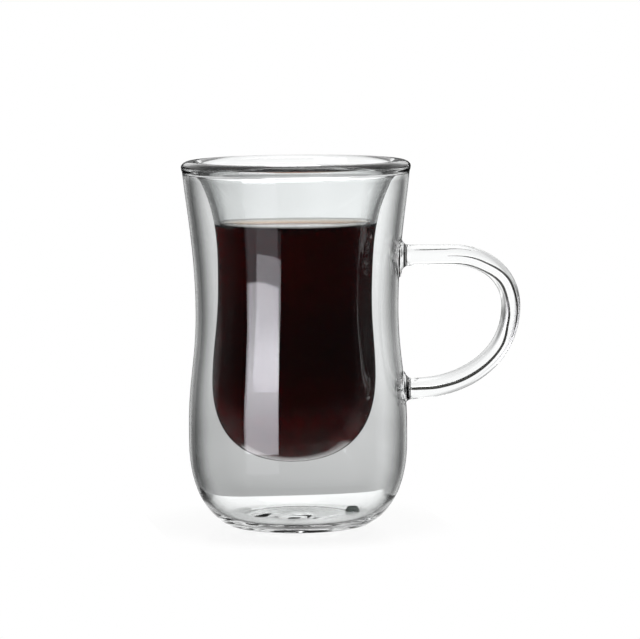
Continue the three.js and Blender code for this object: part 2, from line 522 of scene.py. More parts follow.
@dataclass(frozen=True)
class BlackCoffee:
    """Brewed black coffee: near black in bulk, red brown where light crosses little of it."""

    level_mm: float
    ior: float = 1.34
    # Tint of the light that gets through a little of it
    colour: str = "#e6ad00"
    density: float = 450.0
    # Depths under the level between which the gloss of the free surface fades
    gloss_end_mm: float = 0.6
    gloss_full_mm: float = 0.3

    def material(self) -> bpy.types.Material:
        """Makes the drink, clear but strongly absorbing, glossy only on its free surface.

        Returns:
            The material.
        """
        made, tree = blank_material("black_coffee")
        place = add_node(tree, "TexCoord").outputs["Object"]
        height = add_node(tree, "SeparateXYZ", {0: place}).outputs["Z"]
        end, full = self.level_mm - self.gloss_end_mm, self.level_mm - self.gloss_full_mm
        look = {
            "Base Color": linear(WHITE),
            "Roughness": 0.0,
            "IOR": self.ior,
            "Transmission Weight": 1.0,
            "Specular Tint": remap(tree, height, end * MM, full * MM),
        }
        drink = add_node(tree, "BsdfPrincipled", look).outputs[0]
        bulk = {"Color": linear(self.colour), "Density": self.density}
        dark = add_node(tree, "VolumeAbsorption", bulk).outputs[0]
        add_node(tree, "OutputMaterial", {"Surface": drink, "Volume": dark})
        return made


@dataclass(frozen=True)
class MouldedSilicone:
    """Translucent moulded silicone: dark grey against the light, with a fine grain in its skin."""

    colour: str = "#5c625f"
    ior: float = 1.41
    through: float = 0.95
    grain_mm: float = 0.6
    grain_depth_mm: float = 0.01
    grain_detail: float = 2.0

    def material(self) -> bpy.types.Material:
        """Makes the silicone of the vent plug.

        Returns:
            The material.
        """
        made, tree = blank_material("translucent_silicone")
        look = {
            "Base Color": linear(self.colour),
            "Roughness": 0.0,
            "IOR": self.ior,
            "Transmission Weight": self.through,
            "Normal": bumps(tree, self.grain_mm, self.grain_depth_mm, Detail=self.grain_detail),
        }
        body = add_node(tree, "BsdfPrincipled", look).outputs[0]
        add_node(tree, "OutputMaterial", {"Surface": body})
        return made


@dataclass
class BlownBody:
    """Outer shell and liner cup, fused at the rolled rim. Sizes in mm."""

    height: float = 121.0
    outer_wall: float = 2.0
    mouth_r: float = 37.55
    mouth_band: float = 0.7
    mouth_flare: float = 0.09
    waist_r: float = 33.65
    waist_z: float = 71.0
    belly_r: float = 36.3
    belly_z: float = 27.8
    belly_band: float = 5.0
    heel_lift: float = 5.5
    heel_flat: float = 1.5
    foot_r: float = 23.0
    foot_ring: float = 1.2
    relief: float = 0.6
    base_wall: float = 2.0
    mark_r: float = 9.0
    mark_rise: float = 0.15
    mark_flat: float = 3.0
    mark_slack: float = 0.1
    # Folds of the closing mark: place, half widths and height
    folds: tuple[tuple[float, float, float, float, float], ...] = (
        (-1.5, -12.0, 5.0, 5.0, -0.9), (-11.0, -9.0, 4.0, 5.0, -0.42),
    )
    cup_wall: float = 1.8
    waist_gap: float = 6.1
    belly_gap: float = 7.15
    floor_gap: float = 18.5
    bowl_depth: float = 27.4
    bowl_full: float = 0.66
    neck_above_waist: float = 7.0
    # Reach of each curve's two handles, as shares of its height
    belly_to_waist: Point = (0.4, 0.4)
    waist_to_mouth: Point = (0.455, 0.227)
    brim_to_neck: Point = (0.34, 0.44)
    neck_to_lip: Point = (0.59, 0.27)
    rim_height: float = 3.6
    rim_overhang: float = 0.45
    rim_bulge: float = 1.6
    rim_crest_in: float = 3.2
    rim_edge_lift: float = 2.0
    rim_edge_in: float = 0.8
    rim_full: float = 0.55
    rim_sink: float = 0.6
    rim_leave: float = 0.8
    rim_arrive: float = 0.9
    lip_gap: float = 3.35
    lip_drop: float = 1.6
    lip_flare: float = 0.45
    roof_rise: float = 1.5
    roof_full: float = 0.6
    lean: float = 1.1
    lean_from_z: float = 112.0
    lean_slack: float = 0.2
    bottom_slack: float = 0.01
    # Where the wet faces start and how far out they lie, as shares of the cup's wall
    wet_from: float = 0.6
    wet_reach: float = 0.45
    sides: int = 128
    steps: int = 20
    rim_steps: int = 10
    seam_steps: int = 6

    @property
    def seat_z(self) -> float:
        """Height of the seam between the rim and the outer shell."""
        return self.height - self.rim_height

    @property
    def floor_z(self) -> float:
        """Height of the inner face of the base."""
        return self.relief + self.base_wall

    @property
    def cup_bottom_z(self) -> float:
        """Height of the underside of the liner cup."""
        return self.floor_z + self.floor_gap

    def shell_side(self, wall: Wall) -> list[Point]:
        """Side of the outer shell from the foot to the rim.

        Args:
            wall: face of the wall that it follows.

        Returns:
            Radius and height of each point.
        """
        inset = self.outer_wall if wall is Wall.INSIDE else 0.0
        foot = (self.foot_r, self.floor_z if wall is Wall.INSIDE else 0.0)
        belly = (self.belly_r - inset, self.belly_z)
        belly_top = (belly[0], self.belly_z + self.belly_band)
        waist = (self.waist_r - inset, self.waist_z)
        mouth = (self.mouth_r - inset, self.seat_z - self.mouth_band)
        heel_from = (foot[0] + self.heel_flat, foot[1])
        heel_to = (belly[0], self.heel_lift + inset / 2)
        return joined(
            bend(self.steps, foot, heel_from, heel_to, belly),
            sweep(self.steps, belly_top, waist, self.belly_to_waist),
            sweep(self.steps, waist, mouth, self.waist_to_mouth, self.mouth_flare),
        )

    def base_mark(self, z: float) -> list[Point]:
        """Raised closing mark at the middle of the base, out to its edge.

        Args:
            z: height of the face that it is on.

        Returns:
            Radius and height of each point.
        """
        half = self.mark_r / 2
        top = z + self.mark_rise
        return joined(
            bend(self.steps, (0.0, top), (half, top), (half, z), (self.mark_r, z)),
            straight(self.steps // 2, (self.mark_r, z), (self.mark_r + self.mark_flat, z)),
        )

    def dish(self, z: float) -> list[Point]:
        """One face of the base from its middle down to the foot ring.

        Args:
            z: height of the face at its middle.

        Returns:
            Radius and height of each point.
        """
        mark = self.base_mark(z)
        ring = (self.foot_r - self.foot_ring, z - self.relief)
        half = (mark[-1][0] + ring[0]) / 2
        return joined(mark, bend(self.steps, mark[-1], (half, z), (half, ring[1]), ring))

    def floor_at(self, r: float) -> float:
        """Height of the inner face of the base at a distance from the axis."""
        face = self.dish(self.floor_z + self.relief)
        return next((a[1] for a, b in zip(face, face[1:]) if a[0] <= r <= b[0]), face[-1][1])

    def cup_side(self, wall: Wall) -> list[Point]:
        """Side of the liner cup from its bottom to its lip.

        Args:
            wall: face of the wall that it follows.

        Returns:
            Radius and height of each point.
        """
        inset = self.cup_wall if wall is Wall.INSIDE else 0.0
        brim_r = self.belly_r - self.outer_wall - self.belly_gap - inset
        neck_r = self.waist_r - self.outer_wall - self.waist_gap - inset
        lip_r = self.mouth_r - self.outer_wall - self.lip_gap
        bottom = (0.0, self.cup_bottom_z + inset)
        brim = (brim_r, self.cup_bottom_z + self.bowl_depth)
        neck = (neck_r, self.waist_z + self.neck_above_waist)
        lip = (lip_r, self.seat_z - self.lip_drop)
        if wall is Wall.INSIDE:
            lip = (lip_r - self.rim_edge_in, self.seat_z + self.rim_edge_lift)
        low = (self.bowl_full * brim_r, bottom[1])
        high = (brim_r, brim[1] - self.bowl_full * (brim[1] - bottom[1]))
        return joined(
            bend(self.steps, bottom, low, high, brim),
            sweep(self.steps, brim, neck, self.brim_to_neck),
            sweep(self.steps, neck, lip, self.neck_to_lip, self.lip_flare),
        )

    def rim_roll(self) -> list[Point]:
        """Rolled rim from the seam over its crest to the inner edge.

        Returns:
            Radius and height of each point.
        """
        rim_r = self.mouth_r + self.rim_overhang
        seat = (self.mouth_r, self.seat_z - self.rim_sink)
        bulge = (rim_r, self.seat_z + self.rim_bulge)
        crest = (rim_r - self.rim_crest_in, self.height)
        edge = self.cup_side(Wall.INSIDE)[-1]
        full, lift = self.rim_full, self.rim_edge_lift / 2
        leave = (seat[0] + self.rim_leave * self.mouth_flare, seat[1] + self.rim_leave)
        arrive = (rim_r, bulge[1] - self.rim_arrive)
        up = (rim_r, bulge[1] + full * (self.height - bulge[1]))
        over = (crest[0] + full * self.rim_crest_in, self.height)
        inwards = (crest[0] - full * (crest[0] - edge[0]), self.height)
        down = (edge[0] + self.lip_flare * lift, edge[1] + lift)
        return joined(
            bend(self.seam_steps, seat, leave, arrive, bulge),
            bend(self.rim_steps, bulge, up, over, crest),
            bend(self.rim_steps, crest, inwards, down, edge),
        )

    def skin(self) -> list[Point]:
        """Whole outer face of the glass, from under the base over the rim to the cup's bottom."""
        cup = self.cup_side(Wall.INSIDE)[::-1]
        return joined(self.dish(self.relief), self.shell_side(Wall.OUTSIDE), self.rim_roll(), cup)

    def air_gap(self) -> list[Point]:
        """Closed air gap between the two walls, with a rounded roof under the rim.

        Returns:
            Radius and height of each point.
        """
        cup = self.cup_side(Wall.OUTSIDE)
        wall = self.shell_side(Wall.INSIDE)
        top, lip = wall[-1], cup[-1]
        up = (top[0], self.seat_z + self.roof_rise * self.roof_full)
        down = (lip[0] + self.lip_flare * self.roof_rise, lip[1] + self.roof_rise)
        roof = bend(self.rim_steps, top, up, down, lip)
        return joined(self.dish(self.floor_z + self.relief), wall, roof, cup[::-1])

    def wall_radius(self, z: float) -> float:
        """Radius of the outer shell at a height, read off its side.

        Args:
            z: the height.

        Returns:
            The radius.
        """
        side = self.shell_side(Wall.OUTSIDE)
        for low, high in zip(side, side[1:]):
            if low[1] <= z <= high[1] and high[1] > low[1]:
                return low[0] + (high[0] - low[0]) * (z - low[1]) / (high[1] - low[1])
        return side[-1][0]

    def lean_at(self, z: float) -> float:
        """Sideways shift of the liner at a height: the blown cup hangs a little off upright."""
        return -math.tan(math.radians(self.lean)) * max(0.0, self.lean_from_z - z)

    def build(self) -> Piece:
        """Spins the skin and the air gap, turns the gap's faces round and makes them one piece.

        Returns:
            The glass without its handle and vent.
        """
        skin = spun("mug_glass", self.skin(), self.sides)
        gap = spun("air_gap", self.air_gap(), self.sides)
        self.twist_base(gap)
        hollow_out(skin, gap)
        self.hang_liner(skin)
        return skin

    def twist_base(self, gap: Piece) -> None:
        """Draws the floor of the air gap into the swirl that closing the hot shell leaves.

        Args:
            gap: form of the air gap.
        """
        for vertex in gap.data.vertices:
            x, y, z = (value / MM for value in vertex.co)
            if z < self.floor_z + self.relief + self.mark_rise + self.mark_slack:
                for fold_x, fold_y, wide, deep, rise in self.folds:
                    away = math.hypot((x - fold_x) / wide, (y - fold_y) / deep)
                    z += rise * math.exp(-(away**2))
                vertex.co.z = z * MM

    def hang_liner(self, piece: Piece) -> None:
        """Shifts the liner's two faces sideways by its lean.

        Args:
            piece: the glass.
        """
        outer = self.cup_side(Wall.OUTSIDE)
        for vertex in piece.data.vertices:
            z = vertex.co.z / MM
            reach = reach_at(outer, z, TINY) + self.lean_slack
            if self.cup_bottom_z - self.bottom_slack <= z < self.lean_from_z:
                if math.hypot(vertex.co.x, vertex.co.y) / MM <= reach:
                    vertex.co.x += self.lean_at(z) * MM

    def dress(self, piece: Piece, level: float) -> None:
        """Gives the piece its glass, and the wet faces of the cup theirs.

        Args:
            piece: the finished glass.
            level: height of the drink in mm.
        """
        piece.data.materials.clear()
        for side in Side:
            piece.data.materials.append(BlownGlass(side).material())
        inner = self.cup_side(Wall.INSIDE)
        wet_z = self.cup_bottom_z + self.cup_wall * self.wet_from
        for face in piece.data.polygons:
            z = face.center.z / MM
            r = math.hypot(face.center.x / MM - self.lean_at(z), face.center.y / MM)
            wet = wet_z < z < level and r < reach_at(inner, z) + self.cup_wall * self.wet_reach
            face.material_index = list(Side).index(Side.WET if wet else Side.DRY)
        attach(piece, "root")
        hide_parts("outer_shell", "inner_cup", "handle")


@dataclass
class RodHandle:
    """Glass rod bent to a D, with drawn-out feet that are fused to the shell. Sizes in mm."""

    arm_d: float = 6.85
    bow_d: float = 6.25
    thin_over: float = 14.0
    top_z: float = 89.3
    bottom_z: float = 44.8
    bow_z: float = 72.3
    bow_x: float = 70.95
    top_arm: float = 16.7
    bottom_arm: float = 2.0
    full: float = 0.585
    top_foot_d: float = 15.0
    bottom_foot_d: float = 11.5
    flare: float = 2.6
    sink: float = 1.1
    ring_from_wall: float = 2.6
    ring_height: float = 0.12
    ring_spread: float = 0.55
    crinkles: int = 7
    crinkle_from_wall: float = 2.1
    crinkle_depth: float = 0.1
    crinkle_end: float = 0.01
    dent_d: float = 12.0
    dent_depth: float = 0.5
    dent_sides: int = 48
    steps: int = 32
    rounding: int = 16
    # Fine air lines drawn out with the rod: share of the way along it, radius, and shift towards
    # the finger gap
    air_lines: tuple[tuple[Knot, ...], ...] = (
        (
            (0.05, 0.05, 2.2), (0.17, 0.1, 2.15), (0.31, 0.24, 1.95), (0.42, 0.34, 0.85),
            (0.52, 0.3, 0.2), (0.62, 0.34, -0.5), (0.79, 0.46, -0.45), (0.86, 0.5, -0.3),
            (0.93, 0.45, 0.0), (0.975, 0.15, 0.0),
        ),
        (
            (0.22, 0.06, 0.3), (0.31, 0.22, 0.0), (0.42, 0.34, -1.25), (0.5, 0.24, -1.6),
            (0.58, 0.05, -1.7),
        ),
        ((0.07, 0.05, -1.15), (0.12, 0.16, -1.2), (0.2, 0.16, -1.3), (0.28, 0.05, -1.5)),
    )
    # Faces of the air lines: clear of the mouth, and within this share of the rod's thickness
    air_past_mouth: float = 0.5
    air_within: float = 0.4

    def line(self, body: BlownBody) -> list[Point]:
        """Middle of the rod from inside the wall at the upper foot, round the bow, to the lower.

        Args:
            body: body that the rod is fused to.

        Returns:
            Place along +X and height of each point.
        """
        top_wall, low_wall = body.wall_radius(self.top_z), body.wall_radius(self.bottom_z)
        top_bend, low_bend = top_wall + self.top_arm, low_wall + self.bottom_arm
        bow = (self.bow_x, self.bow_z)
        over = bend(
            self.steps,
            (top_bend, self.top_z),
            (top_bend + self.full * (self.bow_x - top_bend), self.top_z),
            (self.bow_x, self.bow_z + self.full * (self.top_z - self.bow_z)),
            bow,
        )
        under = bend(
            2 * self.steps,
            bow,
            (self.bow_x, self.bow_z - self.full * (self.bow_z - self.bottom_z)),
            (low_bend + self.full * (self.bow_x - low_bend), self.bottom_z),
            (low_bend, self.bottom_z),
        )
        upper_arm = straight(self.steps, (top_wall - self.sink, self.top_z), over[0])
        lower_arm = straight(self.steps // 4, under[-1], (low_wall - self.sink, self.bottom_z))
        return joined(upper_arm, over, under, lower_arm)

    def radius(self, body: BlownBody, x: float, z: float) -> float:
        """Radius of the rod at a place: thinnest on the bow, with a ring and a flare at each foot.

        Args:
            body: body that the rod is fused to.
            x: place along +X.
            z: height.

        Returns:
            The radius.
        """
        upper = z > self.bow_z
        wall = body.wall_radius(self.top_z if upper else self.bottom_z)
        foot = (self.top_foot_d if upper else self.bottom_foot_d) / 2
        arm = min(1.0, (self.bow_x - x) / self.thin_over)
        rod = (self.bow_d + (self.arm_d - self.bow_d) * arm) / 2
        away = max(0.0, x - wall)
        near = max(0.0, 1 - away / self.flare)
        flare = (foot - rod) * (1 - math.sqrt(1 - near * near))
        ring_off = (away - self.ring_from_wall) / self.ring_spread
        return rod + flare + self.ring_height * math.exp(-(ring_off**2))

    def crinkle(self, rod: Piece, body: BlownBody) -> None:
        """Folds the ring of each foot, where the soft glass was pressed on.

        Args:
            rod: the bent rod.
            body: body that the rod is fused to.
        """
        for z in (self.top_z, self.bottom_z):
            middle = body.wall_radius(z) + self.crinkle_from_wall
            for vertex in rod.data.vertices:
                up = vertex.co.z / MM - z
                near = math.exp(-(((vertex.co.x / MM - middle) / (2 * self.ring_spread)) ** 2))
                if abs(up) > self.top_foot_d or near < self.crinkle_end:
                    continue
                wave = math.sin(self.crinkles * math.atan2(up, vertex.co.y / MM) + z)
                out = 1 + self.crinkle_depth / self.arm_d * 2 * near * wave
                vertex.co.y *= out
                vertex.co.z = (z + up * out) * MM

    def air_knots(self, line: list[Point], spots: tuple[Knot, ...]) -> list[Knot]:
        """Place and radius of one air line along the rod.

        Args:
            line: middle of the rod.
            spots: share of the way along, radius and shift of the air line.

        Returns:
            Place along +X, height and radius of each point.
        """
        knots = []
        last = len(line) - 1
        for i in range(1, last):
            share = i / last
            for (a, ra, sa), (b, rb, sb) in zip(spots, spots[1:]):
                if a <= share < b:
                    k = (1 - math.cos(math.pi * (share - a) / (b - a))) / 2
                    r, shift = ra + (rb - ra) * k, sa + (sb - sa) * k
                    (x, z), (xa, za), (xb, zb) = line[i], line[i - 1], line[i + 1]
                    long = math.dist(line[i - 1], line[i + 1])
                    inward = ((zb - za) / long, (xa - xb) / long)
                    knots.append((x + shift * inward[0], z + shift * inward[1], r))
        return knots

    def build(self, body: BlownBody) -> Piece:
        """Draws the bent rod with its feet and the air lines in it.

        Args:
            body: body that the rod is fused to.

        Returns:
            The rod.
        """
        line = self.line(body)
        rod = tube("rod", [(x, z, self.radius(body, x, z)) for x, z in line], self.rounding)
        self.crinkle(rod, body)
        for spots in self.air_lines:
            bubble = tube("air_line", self.air_knots(line, spots), self.rounding // 2)
            hollow_out(rod, bubble)
        LOG.info("handle: %d faces along %d points", len(rod.data.polygons), len(line))
        return rod

    def dress(self, piece: Piece, body: BlownBody) -> None:
        """Gives the walls of the air lines in the rod their own dark glass: a painted streak of
        shade.

        Args:
            piece: the finished glass, with one material for each side.
            body: body that the rod is fused to.
        """
        line = self.line(body)
        middle = KDTree(len(line))
        for i, (x, z) in enumerate(line):
            middle.insert((x * MM, 0.0, z * MM), i)
        middle.balance()
        clear, within = body.mouth_r + self.air_past_mouth, self.air_within * self.bow_d * MM
        for face in piece.data.polygons:
            if face.center.x / MM > clear and middle.find(face.center)[2] < within:
                face.material_index = list(Side).index(Side.AIR_LINE)

    def dent(self, body: BlownBody, z: float) -> Piece:
        """Swelling on the inside of the wall behind a foot.

        Args:
            body: body that the rod is fused to.
            z: height of the foot.

        Returns:
            The swelling, to be joined to the wall.
        """
        deselect()
        bpy.ops.mesh.primitive_uv_sphere_add(
            segments=self.dent_sides,
            ring_count=self.dent_sides // 2,
            radius=MM,
            location=(0, 0, 0),
        )
        piece = bpy.context.object
        wall = body.wall_radius(z) - body.outer_wall
        edit_all()
        bpy.ops.transform.resize(value=(self.dent_depth, self.dent_d / 2, self.dent_d / 2))
        bpy.ops.transform.translate(value=(wall * MM, 0.0, z * MM))
        bpy.ops.object.mode_set(mode="OBJECT")
        return piece


@dataclass
class VentPlug:
    """Soft plug in the base: flange, stem and tapered head with a flat top. Sizes in mm."""

    from_axis: float = 18.4
    angle: float = 10.0
    vent_d: float = 3.4
    sink_depth: float = 0.6
    clearance: float = 0.3
    flange_d: float = 4.8
    flange: float = 0.8
    head_d: float = 5.0
    head: float = 1.9
    head_flat: float = 0.6
    soft: float = 0.15
    cut_past: float = 1.0
    sides: int = 40
    steps: int = 6

    @property
    def middle(self) -> Point:
        """Place of the vent on the base."""
        turn = math.radians(self.angle)
        return (self.from_axis * math.cos(turn), self.from_axis * math.sin(turn))

    def cutter(self, body: BlownBody) -> Piece:
        """Solid of the vent hole with its recess, to be cut out of the base.

        Args:
            body: body that has the vent.

        Returns:
            The solid.
        """
        hole = self.vent_d / 2
        sink = self.flange_d / 2 + self.clearance
        sink_z = body.relief + self.sink_depth
        low, top = -self.cut_past, body.floor_z + self.cut_past
        recess = [(0.0, low), (sink, low), (sink, sink_z)]
        points = recess + [(hole, sink_z), (hole, top), (0.0, top)]
        return spun("vent_cut", points, self.sides, self.middle)

    def build(self, body: BlownBody) -> Piece:
        """Spins the plug about the vent, with rounded edges.

        Args:
            body: body that has the vent.

        Returns:
            The plug.
        """
        soft = self.soft
        floor = body.floor_at(self.from_axis)
        flange_top = body.relief + self.sink_depth
        low = flange_top - self.flange
        flange_r = self.flange_d / 2
        stem = self.vent_d / 2 - self.clearance
        head_r = self.head_d / 2
        top = floor + self.head
        flat_r = self.head_flat * head_r
        shoulder = (flat_r + 2 * soft, top - 2 * soft)
        points = joined(
            [(0.0, low), (flange_r - soft, low), (flange_r, low + soft)],
            [(flange_r, flange_top - soft), (flange_r - soft, flange_top), (stem, flange_top)],
            [(stem, floor), (head_r - soft, floor)],
            straight(self.steps, (head_r, floor + soft), shoulder),
            bend(self.steps, shoulder, (flat_r + soft, top), (flat_r, top), (flat_r - soft, top)),
            [(0.0, top)],
        )
        return spun("vent_button", points, self.sides, self.middle)

    def dress(self, piece: Piece) -> None:
        """Gives the plug its silicone.

        Args:
            piece: the plug.
        """
        piece.data.materials.clear()
        piece.data.materials.append(MouldedSilicone().material())
        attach(piece, "root")
        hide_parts("vent_plug")


@dataclass
class CoffeeFill:
    """The drink in the liner cup, with a raised edge where it wets the glass. Sizes in mm."""

    level: float = 99.8
    overlap: float = 0.06
    overlap_under_z: float = 30.0
    edge_rise: float = 1.6
    edge_reach: float = 3.2
    edge_overlap: float = 0.12
    edge_room: float = 0.3
    edge_in: float = 0.15
    edge_low: float = 0.2
    edge_flat: float = 0.4
    edge_steps: int = 8
    rings: tuple[float, ...] = (0.66, 0.33, 0.0)

    def build(self, body: BlownBody) -> Piece:
        """Spins the drink from the cup's own inner face and hangs it as the liner hangs.

        Args:
            body: body that holds the drink.

        Returns:
            The drink.
        """
        top = self.level + self.edge_rise
        side = []
        for r, z in body.cup_side(Wall.INSIDE):
            if z < top - self.edge_room:
                sunk = self.overlap if z < self.overlap_under_z else 0
                side.append((r + self.overlap if r > 0 else 0.0, z - sunk))
        brim = side[-1][0] + self.edge_overlap
        edge = bend(
            self.edge_steps,
            (brim, top),
            (brim - self.edge_in, self.level + self.edge_low * self.edge_rise),
            (brim - self.edge_flat * self.edge_reach, self.level),
            (brim - self.edge_reach, self.level),
        )
        flat = [(edge[-1][0] * share, self.level) for share in self.rings]
        piece = spun("coffee_fill", joined(side, edge, flat), body.sides)
        for vertex in piece.data.vertices:
            vertex.co.x += body.lean_at(vertex.co.z / MM) * MM
        return piece

    def dress(self, piece: Piece) -> None:
        """Gives the drink its colour and depth.

        Args:
            piece: the drink.
        """
        piece.data.materials.clear()
        piece.data.materials.append(BlackCoffee(level_mm=self.level).material())
        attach(piece, "root")


@dataclass
class Studio:
    """White table, grey paper, white card, tent, softbox, lamp and camera. Lengths in metres."""

    camera_at: tuple[float, float, float] = (0.0076, -1.2, 0.1859)
    pitch: float = 5.61
    roll: float = -0.45
    focal_px: float = 3632.0
    far_end: float = 50.0
    table_back: float = 0.052
    table_front: float = 0.06
    table_turn: float = 11.0
    table_side: float = 0.048
    table_drop: float = 0.0001
    table_colour: str = "#f2f2f0"
    table_rough: float = 0.12
    table_ior: float = 1.3
    # Light of the table through glass: in its pool, beside it, far off and in the cup's mirror
    table_through: float = 1.2
    table_unlit: float = 0.03
    table_far: float = 0.55
    table_mirrored: float = 0.03
    mirror_y: float = 0.004
    mirror_edge: float = 0.01
    pool_y: float = 0.02
    pool_r: float = 0.0365
    pool_edge: float = 0.008
    pool_narrow: float = 1.1
    shadow: float = 0.14
    shadow_from: float = 0.036
    shadow_to: float = 0.06
    key_turn: float = 38.96
    key_away: float = 2.0
    key_low: float = -0.75
    key_high: float = 1.77
    key_wide: float = 1.34
    key_level: float = 7.4
    key_colour: str = "#fbf8ff"
    # Share of the way up the softbox, and share of its light
    key_fall: Stops = (
        (0.0, 0.08), (0.176, 0.08), (0.18, 0.62), (0.249, 0.69), (0.319, 0.78), (0.413, 1.0),
        (0.471, 1.0), (0.566, 0.1), (1.0, 0.1),
    )
    # Glass faces that a ray has passed: at the liner, past one wall, and where the softbox fades
    liner_faces: float = 4.0
    wall_faces: float = 2.5
    key_faces: Point = (6.0, 4.0)
    lamp_wide: float = 0.7
    lamp_watts: float = 3.9
    lamp_at: tuple[float, float, float] = (0.1, 0.2, 1.1)
    paper: float = 1.27
    room: float = 0.02
    room_ends: Point = (0.1, 0.35)
    mirror_low: float = 0.14
    matt_light: float = 0.45
    # Brightness round the mug: degrees to the right of straight behind it, and share
    around: Stops = (
        (-180.0, 1.0), (-160.0, 1.5), (-115.0, 1.5), (-90.0, 0.8), (-60.0, 0.4), (-48.0, 0.2),
        (-42.0, 0.15), (-36.0, 0.25), (-25.0, 0.26), (-20.0, 0.34), (-15.0, 0.43), (-11.0, 0.56),
        (-7.0, 0.7), (-3.0, 0.84), (0.0, 0.9), (6.0, 0.98), (9.0, 0.86), (14.0, 0.68),
        (20.0, 0.57), (26.0, 0.44), (30.0, 0.28), (36.0, 0.46), (44.0, 0.6), (90.0, 0.8),
        (115.0, 1.5), (160.0, 1.5), (180.0, 1.0),
    )
    # Brightness up the paper: height of the ray's direction, and share
    upward: Stops = (
        (-1.0, 0.8), (-0.23, 0.75), (-0.19, 0.44), (-0.16, 0.45), (-0.13, 0.55), (-0.1, 0.74),
        (-0.05, 0.98), (0.03, 1.0), (0.07, 1.7), (0.14, 1.7), (0.2, 1.0), (1.0, 1.0),
    )
    # White card close behind the rod and the rim: the same two scales
    card: float = 1.06
    card_around: Stops = ((-180.0, 0.0), (-20.0, 0.0), (-12.0, 1.0), (14.0, 1.0), (22.0, 0.0))
    card_upward: Stops = (
        (-1.0, 0.55), (-0.4, 0.55), (-0.34, 0.62), (-0.28, 0.75), (-0.2, 0.95), (-0.13, 1.0),
        (0.4, 1.0), (0.48, 0.2), (1.0, 0.2),
    )
    # Light tent overhead: the same two scales
    tent: float = 1.1
    tent_around: Stops = (
        (-180.0, 1.0), (-20.0, 1.0), (-13.0, 0.0), (13.0, 0.0), (20.0, 1.0), (180.0, 1.0),
    )
    tent_upward: Stops = (
        (-1.0, 0.5), (-0.4, 0.5), (-0.3, 0.0), (0.14, 0.0), (0.3, 1.0), (0.46, 1.0), (0.54, 0.4),
        (1.0, 0.7),
    )
    bounces: int = 32
    mirror_bounces: int = 16

    def camera(self) -> None:
        """Sets the camera where the photograph was taken from."""
        data = bpy.data.cameras.new("camera")
        data.sensor_width = SENSOR_WIDE
        data.lens = self.focal_px * SENSOR_WIDE / IMAGE_WIDE
        data.clip_end = self.far_end
        camera = bpy.data.objects.new("camera", data)
        bpy.context.scene.collection.objects.link(camera)
        camera.location = self.camera_at
        camera.rotation_mode = "XYZ"
        camera.rotation_euler = (math.radians(90 - self.pitch), 0.0, 0.0)
        camera.rotation_euler.rotate_axis("Z", math.radians(self.roll))
        bpy.context.scene.camera = camera

    def ramp(self, tree: Nodes, source: Socket, stops: list[Point]) -> Socket:
        """Reads a brightness off a list of places and values.

        Args:
            tree: node tree that takes the node.
            source: place, from 0 to 1.
            stops: places in rising order, each with its brightness.

        Returns:
            The brightness.
        """
        made = add_node(tree, "ValToRGB", {0: source})
        band = made.color_ramp.elements
        for spot, (place, value) in zip((band[0], band[1]), (stops[0], stops[-1])):
            spot.position, spot.color = place, (value, value, value, 1.0)
        for place, value in stops[1:-1]:
            band.new(place).color = (value, value, value, 1.0)
        return made.outputs["Color"]

    def scale(
        self, tree: Nodes, turn: Socket, rise: Socket, around: Stops, upward: Stops, level: float
    ) -> Socket:
        """Multiplies a scale round the mug, a scale up the paper and a level.

        Args:
            tree: node tree that takes the nodes.
            turn: place round the mug, from 0 to 1, with 0.5 straight behind it.
            rise: place up the paper, from 0 to 1.
            around: degrees to the right of straight behind, and share.
            upward: height of the ray's direction, and share.
            level: brightness where both shares are 1.

        Returns:
            The brightness.
        """
        sides = [(0.5 + degrees / 360, level * value) for degrees, value in around]
        heights = [((1 + place) / 2, value) for place, value in upward]
        sideways = self.ramp(tree, turn, sides)
        return maths(tree, "MULTIPLY", sideways, self.ramp(tree, rise, heights))

    def cup_mirror(self, tree: Nodes) -> Socket:
        """Tells which rays the liner's outer face has mirrored.

        Args:
            tree: node tree that takes the nodes.

        Returns:
            1 for such a ray, 0 for any other.
        """
        path = add_node(tree, "LightPath").outputs
        cup = maths(tree, "COMPARE", path["Transmission Depth"], self.liner_faces, HALF)
        return maths(tree, "MULTIPLY", cup, path["Glossy Depth"], clamp=True)

    def paper_met(self, tree: Nodes, forward: Socket, height: Socket) -> Socket:
        """Share of the lit paper that a ray meets: near walls mirror an unlit room.

        Args:
            tree: node tree that takes the nodes.
            forward: direction of the ray towards the back of the studio.
            height: direction of the ray upwards.

        Returns:
            0 for the room, 1 for the paper.
        """
        path = add_node(tree, "LightPath").outputs
        away = remap(tree, forward, *self.room_ends)
        mirrored_once = maths(tree, "COMPARE", path["Glossy Depth"], 1.0, HALF)
        met = maths(tree, "MAXIMUM", away, maths(tree, "SUBTRACT", 1.0, mirrored_once))
        skin = maths(tree, "LESS_THAN", path["Transmission Depth"], HALF)
        low = maths(tree, "LESS_THAN", height, self.mirror_low)
        skin_mirror = maths(tree, "MULTIPLY", skin, low)
        dark = maths(tree, "MAXIMUM", skin_mirror, self.cup_mirror(tree))
        return maths(tree, "SUBTRACT", met, dark, clamp=True)

    def table_light(self, tree: Nodes, place: Socket) -> Socket:
        """Brightness of the table through glass: a lit pool behind the mug, dim round it.

        Args:
            tree: node tree that takes the nodes.
            place: place on the table.

        Returns:
            The brightness.
        """
        path = add_node(tree, "LightPath").outputs
        oval = {0: place, 1: (self.pool_narrow, 1.0, 0.0), 2: (0.0, -self.pool_y, 0.0)}
        off = add_node(tree, "VectorMath", oval, operation="MULTIPLY_ADD").outputs[0]
